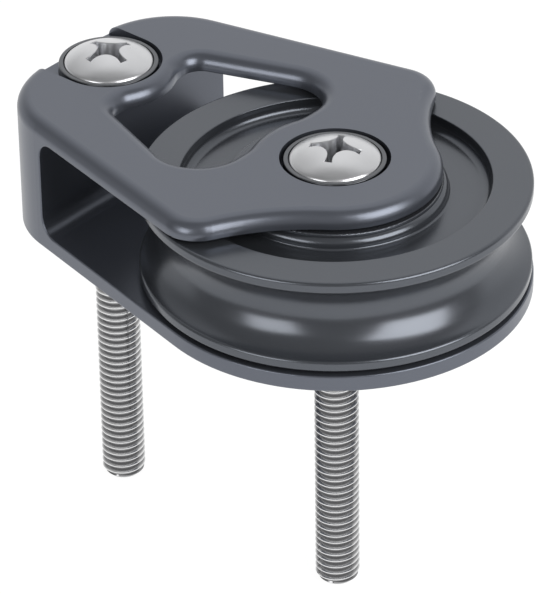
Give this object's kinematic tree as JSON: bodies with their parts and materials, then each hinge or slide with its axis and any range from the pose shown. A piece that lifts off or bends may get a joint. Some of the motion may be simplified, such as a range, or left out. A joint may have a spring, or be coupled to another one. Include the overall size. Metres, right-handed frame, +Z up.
{
  "type": "foot block",
  "caption": "Deck foot block: a grooved sheave turns between a round base and a cheek plate of one metal frame, held down by countersunk screws.",
  "frame": {"origin": "midway between the two screws, on the underside of the base", "axes": "+X from the heel to the sheave, +Y across the frame, +Z up, away from the deck"},
  "size_m": [0.0702, 0.0504, 0.0668],
  "materials": {
    "frame_metal": "satin grey hard anodised",
    "sheave_metal": "satin grey hard anodised",
    "stainless": "polished stainless steel",
    "sleeve_metal": "satin anodised",
    "bearing": "satin dark grey bearing plastic"
  },
  "bodies": {
    "frame": {"frame": "frame_metal", "axle_sleeve": "sleeve_metal", "heel_ferrule": "sleeve_metal", "upper_slip_washer": "bearing", "lower_slip_washer": "bearing", "front_screw": "stainless", "rear_screw": "stainless"},
    "sheave": {"sheave": "sheave_metal", "upper_bush": "bearing", "lower_bush": "bearing"}
  },
  "joints": [
    {"name": "sheave_spin", "type": "hinge", "parent": "frame", "child": "sheave", "pos_m": [0.01925, 0, 0], "axis": [0, 0, 1], "continuous": true}
  ]
}
